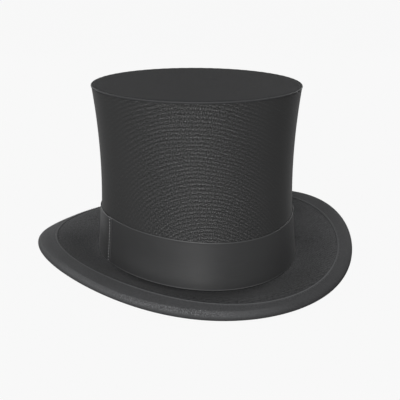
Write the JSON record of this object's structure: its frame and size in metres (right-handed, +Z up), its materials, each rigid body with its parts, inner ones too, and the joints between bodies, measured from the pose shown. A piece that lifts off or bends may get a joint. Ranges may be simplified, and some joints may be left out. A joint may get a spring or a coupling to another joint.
{
  "type": "top hat",
  "caption": "Oval top hat with a flat tip, ribbed cloth crown, wide ribbon band and curled brim; the crown folds flat on sprung struts.",
  "frame": {"origin": "under the centre of the crown, at the height of the lowest point of the brim's edge", "axes": "+Z up through the flat tip; +Y towards the front of the hat; +X towards the wearer's right; the brim curls up at +X and -X"},
  "size_m": [0.2998, 0.3022, 0.1647],
  "materials": {
    "ribbed_cloth": "dull finely ribbed woven cloth with a faint watered sheen",
    "ribbon": "smooth close-woven ribbon with a soft satin sheen",
    "under_cloth": "dull finely ribbed cloth",
    "stiff_board": "stiffened open-weave cloth board",
    "lining_satin": "smooth satin",
    "sweat_leather": "smooth calf leather, semi-matt",
    "spring_steel": "blued and brushed spring steel strip",
    "dark_steel": "dark steel wire and pins"
  },
  "bodies": {
    "base": {"brim_board": "stiff_board", "brim_top_cloth": "ribbed_cloth", "brim_under_cloth": "under_cloth", "brim_edge_wire": "dark_steel", "brim_binding": "ribbon", "crown_base_band": "stiff_board", "crown_side_cloth": "ribbed_cloth", "hat_band": "ribbon", "lower_hoop": "spring_steel", "side_lining": "lining_satin", "sweatband": "sweat_leather", "sweatband_reed": "ribbon", "lower_bracket_1": "spring_steel", "lower_bracket_2": "spring_steel", "lower_bracket_3": "spring_steel", "lower_bracket_4": "spring_steel", "lower_pin_1": "dark_steel", "lower_pin_2": "dark_steel", "lower_pin_3": "dark_steel", "lower_pin_4": "dark_steel"},
    "strut_1_lower": {"lower_arm_1": "spring_steel", "knee_pin_1": "dark_steel"},
    "strut_1_upper": {"upper_arm_1": "spring_steel", "knee_spring_1": "dark_steel"},
    "strut_2_lower": {"lower_arm_2": "spring_steel", "knee_pin_2": "dark_steel"},
    "strut_2_upper": {"upper_arm_2": "spring_steel", "knee_spring_2": "dark_steel"},
    "strut_3_lower": {"lower_arm_3": "spring_steel", "knee_pin_3": "dark_steel"},
    "strut_3_upper": {"upper_arm_3": "spring_steel", "knee_spring_3": "dark_steel"},
    "strut_4_lower": {"lower_arm_4": "spring_steel", "knee_pin_4": "dark_steel"},
    "strut_4_upper": {"upper_arm_4": "spring_steel", "knee_spring_4": "dark_steel"},
    "crown_top": {"tip_cloth": "ribbed_cloth", "tip_board": "stiff_board", "tip_lining": "lining_satin", "tip_edge_piping": "ribbon", "upper_hoop": "spring_steel", "upper_bracket_1": "spring_steel", "upper_bracket_2": "spring_steel", "upper_bracket_3": "spring_steel", "upper_bracket_4": "spring_steel", "upper_pin_1": "dark_steel", "upper_pin_2": "dark_steel", "upper_pin_3": "dark_steel", "upper_pin_4": "dark_steel"}
  },
  "joints": [
    {"name": "fold", "type": "hinge", "parent": "base", "child": "strut_1_lower", "pos_m": [0.05665, 0.06104, 0.0483], "axis": [0.6835, -0.7299, 0], "range_deg": [0, 85], "deforming": ["crown_side_cloth", "side_lining"]},
    {"name": "strut_1_knee_hinge", "type": "hinge", "parent": "strut_1_lower", "child": "strut_1_upper", "pos_m": [0.05665, 0.06104, 0.1014], "axis": [0.6835, -0.7299, 0], "range_deg": [-170, 0]},
    {"name": "tip_hinge", "type": "hinge", "parent": "strut_1_upper", "child": "crown_top", "pos_m": [0.05665, 0.06104, 0.1545], "axis": [0.6835, -0.7299, 0], "range_deg": [0, 85]},
    {"name": "strut_2_foot_hinge", "type": "hinge", "parent": "base", "child": "strut_2_lower", "pos_m": [-0.05665, 0.06104, 0.0483], "axis": [0.6835, 0.7299, 0], "range_deg": [0, 85]},
    {"name": "strut_2_knee_hinge", "type": "hinge", "parent": "strut_2_lower", "child": "strut_2_upper", "pos_m": [-0.05665, 0.06104, 0.1014], "axis": [0.6835, 0.7299, 0], "range_deg": [-170, 0]},
    {"name": "strut_3_foot_hinge", "type": "hinge", "parent": "base", "child": "strut_3_lower", "pos_m": [-0.05665, -0.06104, 0.0483], "axis": [-0.6835, 0.7299, 0], "range_deg": [0, 85]},
    {"name": "strut_3_knee_hinge", "type": "hinge", "parent": "strut_3_lower", "child": "strut_3_upper", "pos_m": [-0.05665, -0.06104, 0.1014], "axis": [-0.6835, 0.7299, 0], "range_deg": [-170, 0]},
    {"name": "strut_4_foot_hinge", "type": "hinge", "parent": "base", "child": "strut_4_lower", "pos_m": [0.05665, -0.06104, 0.0483], "axis": [-0.6835, -0.7299, 0], "range_deg": [0, 85]},
    {"name": "strut_4_knee_hinge", "type": "hinge", "parent": "strut_4_lower", "child": "strut_4_upper", "pos_m": [0.05665, -0.06104, 0.1014], "axis": [-0.6835, -0.7299, 0], "range_deg": [-170, 0]}
  ],
  "couplings": [
    {"joint": "strut_1_knee_hinge", "follows": "fold", "ratio": -2},
    {"joint": "tip_hinge", "follows": "fold", "ratio": 1},
    {"joint": "strut_2_knee_hinge", "follows": "fold", "ratio": -2},
    {"joint": "strut_2_foot_hinge", "follows": "fold", "ratio": 1},
    {"joint": "strut_3_knee_hinge", "follows": "fold", "ratio": -2},
    {"joint": "strut_3_foot_hinge", "follows": "fold", "ratio": 1},
    {"joint": "strut_4_knee_hinge", "follows": "fold", "ratio": -2},
    {"joint": "strut_4_foot_hinge", "follows": "fold", "ratio": 1}
  ]
}
